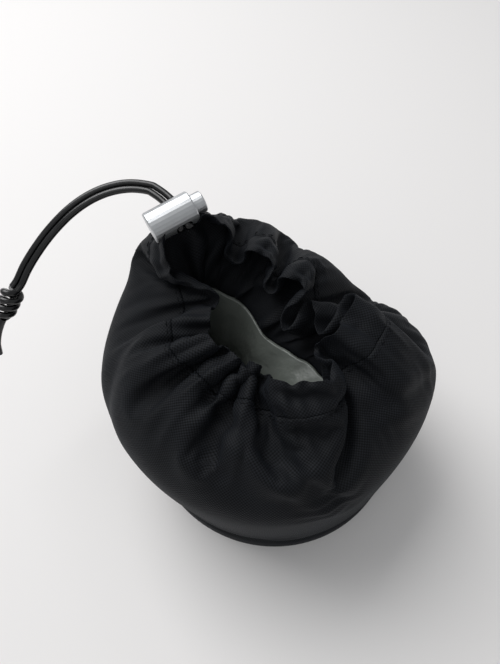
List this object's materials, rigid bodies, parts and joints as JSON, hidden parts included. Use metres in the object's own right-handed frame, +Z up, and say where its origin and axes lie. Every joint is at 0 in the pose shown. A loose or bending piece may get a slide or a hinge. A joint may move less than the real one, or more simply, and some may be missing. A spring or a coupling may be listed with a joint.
{
  "type": "cosmetic pouch",
  "caption": "Round drawstring pouch with a flat base, lined body, gathered mouth, doubled rubber drawcord tied in a knot, and a barrel cord lock with a push button.",
  "frame": {"origin": "centre of the underside of the base, on the surface that the pouch stands on", "axes": "+Z up out of the mouth; +X and +Y level, with the cord lock at the -X +Y side of the mouth"},
  "size_m": [0.1701, 0.1206, 0.1171],
  "materials": {
    "shell_nylon": "matt woven nylon, black",
    "coated_lining": "smooth coated cloth, pale grey",
    "sewing_thread": "black polyester thread",
    "binding_tape": "black woven binding tape",
    "stiff_board": "pressed fibre board",
    "rubber_cord": "smooth glossy black rubber",
    "satin_aluminium": "satin anodised aluminium",
    "spring_steel": "plain spring wire"
  },
  "bodies": {
    "pouch": {"outer_wall": "shell_nylon", "outer_base": "shell_nylon", "drawstring_channel": "shell_nylon", "channel_stitching": "sewing_thread", "lining_wall": "coated_lining", "lining_base": "coated_lining", "base_board": "stiff_board", "side_seam_tape": "binding_tape", "base_seam_tape": "binding_tape", "channel_cord": "rubber_cord", "cord_strand_outer": "rubber_cord", "cord_strand_inner": "rubber_cord", "cord_knot": "rubber_cord", "cord_tail_outer": "rubber_cord", "cord_tail_inner": "rubber_cord"},
    "lock": {"lock_barrel": "satin_aluminium", "lock_spring": "spring_steel"},
    "plunger": {"lock_plunger": "satin_aluminium"}
  },
  "joints": [
    {"name": "lock_travel", "type": "hinge", "parent": "pouch", "child": "lock", "pos_m": [-0.05867, 0.01429, 0.10608], "axis": [-0.0268, -0.2866, 0.9577], "range_deg": [0, 16]},
    {"name": "plunger_press", "type": "slide", "parent": "lock", "child": "plunger", "axis": [0.8596, 0.4824, 0.1685], "range_m": [-0.0022, 0], "stiffness_N_per_m": 400, "springref_m": 0.004, "deforming": ["lock_spring"]}
  ]
}
